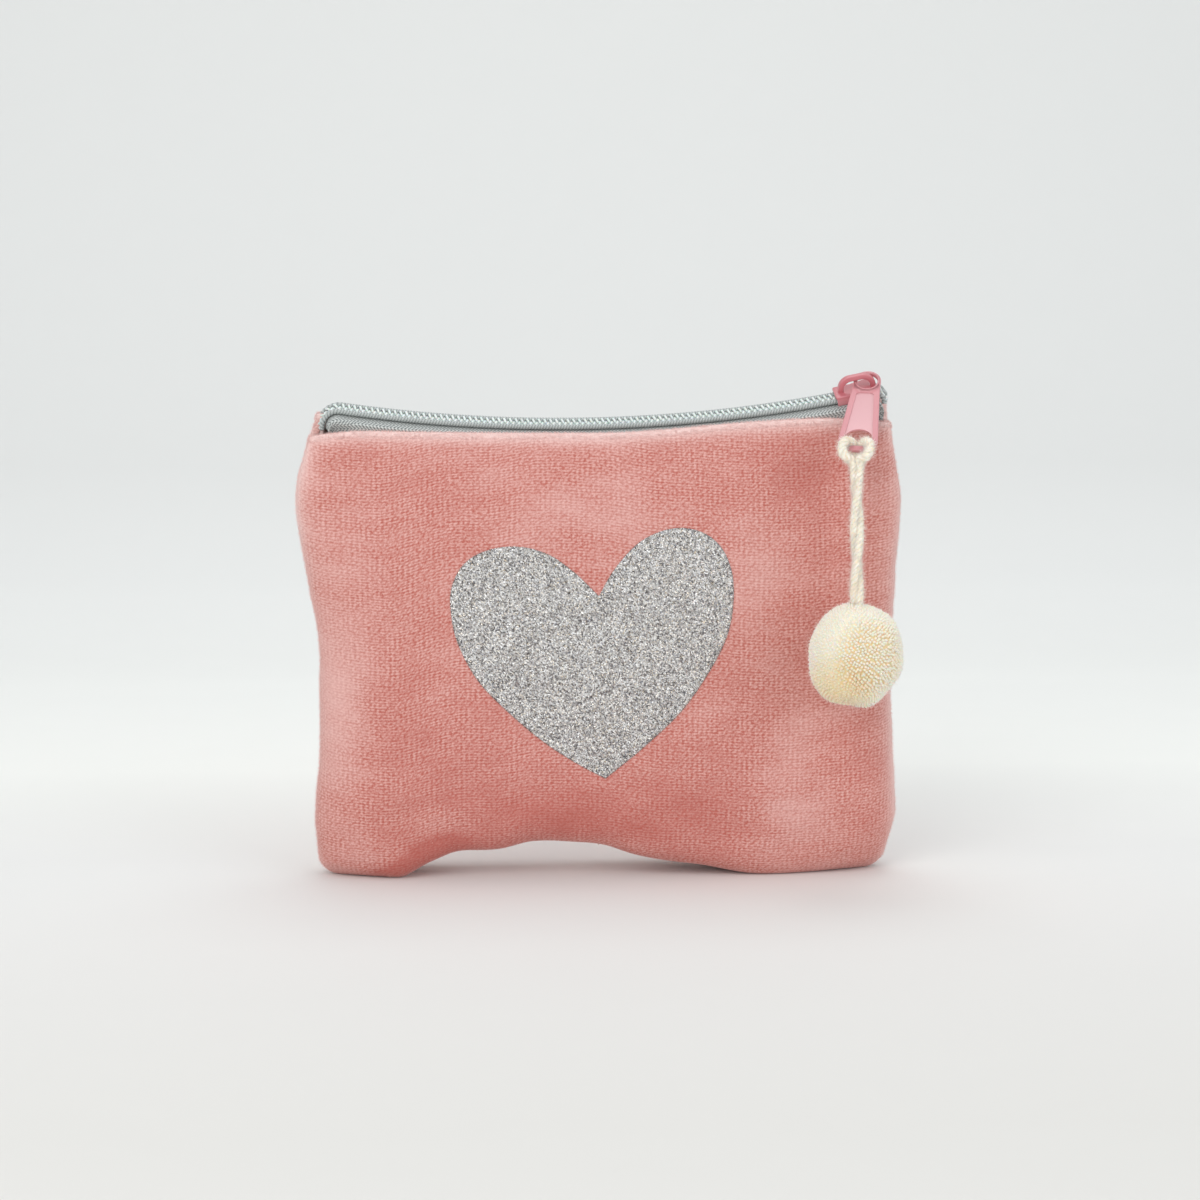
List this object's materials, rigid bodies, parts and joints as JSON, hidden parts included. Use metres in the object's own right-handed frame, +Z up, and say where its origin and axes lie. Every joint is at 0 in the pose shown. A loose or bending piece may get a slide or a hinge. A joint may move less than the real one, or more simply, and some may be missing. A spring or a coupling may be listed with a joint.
{
  "type": "zip pouch",
  "caption": "Small soft velvet pouch with a curved top zip, a pressed glitter heart on its front and a pompom charm that hangs from the zip's pull tab.",
  "frame": {"origin": "on the surface that the pouch stands on, under the middle of the bag with its pull tab, 2.5 mm in front of the seams", "axes": "+X to the right across the front, where the zip closes; -Y out of the front, where the heart is; +Z up"},
  "size_m": [0.14, 0.0505, 0.1173],
  "materials": {
    "velvet": "short soft pile with a fine pressed grid",
    "lining_cotton": "plain woven",
    "glitter": "coarse silver glitter",
    "thread": "spun thread",
    "zip_tape": "herringbone tape",
    "zip_coil": "nylon coil",
    "pink_enamel": "satin enamel",
    "cream_yarn": "fluffy acrylic yarn"
  },
  "bodies": {
    "bag": {"front_panel": "velvet", "back_panel": "velvet", "front_lining": "lining_cotton", "back_lining": "lining_cotton", "heart_applique": "glitter", "left_seam_thread": "thread", "right_seam_thread": "thread", "bottom_seam_thread": "thread", "front_tape": "zip_tape", "back_tape": "zip_tape", "front_coil": "zip_coil", "back_coil": "zip_coil"},
    "slider": {"slider_body": "pink_enamel"},
    "tab": {"pull_tab": "pink_enamel", "cord_hitch": "cream_yarn"},
    "charm": {"charm_cord": "cream_yarn", "cord_knot": "cream_yarn"},
    "pom": {"pompom": "cream_yarn"}
  },
  "joints": [
    {"name": "slider_travel", "type": "hinge", "parent": "bag", "child": "slider", "pos_m": [-0.00798, 0.0025, 0.4538], "axis": [0, 1, 0], "range_deg": [0, 18.8], "deforming": ["front_coil", "back_coil"]},
    {"name": "tab_swing", "type": "hinge", "parent": "slider", "child": "tab", "pos_m": [0.06164, 0.00012, 0.11498], "axis": [0.9811, 0, 0.1933], "range_deg": [-38, 0]},
    {"name": "cord_swing", "type": "hinge", "parent": "tab", "child": "charm", "pos_m": [0.05648, -0.01787, 0.09762], "axis": [1, 0, 0], "range_deg": [-110, 0], "deforming": ["charm_cord"]},
    {"name": "pompom_swing", "type": "hinge", "parent": "charm", "child": "pom", "pos_m": [0.05608, -0.02365, 0.06044], "axis": [0, 1, 0], "range_deg": [-15, 15]}
  ]
}
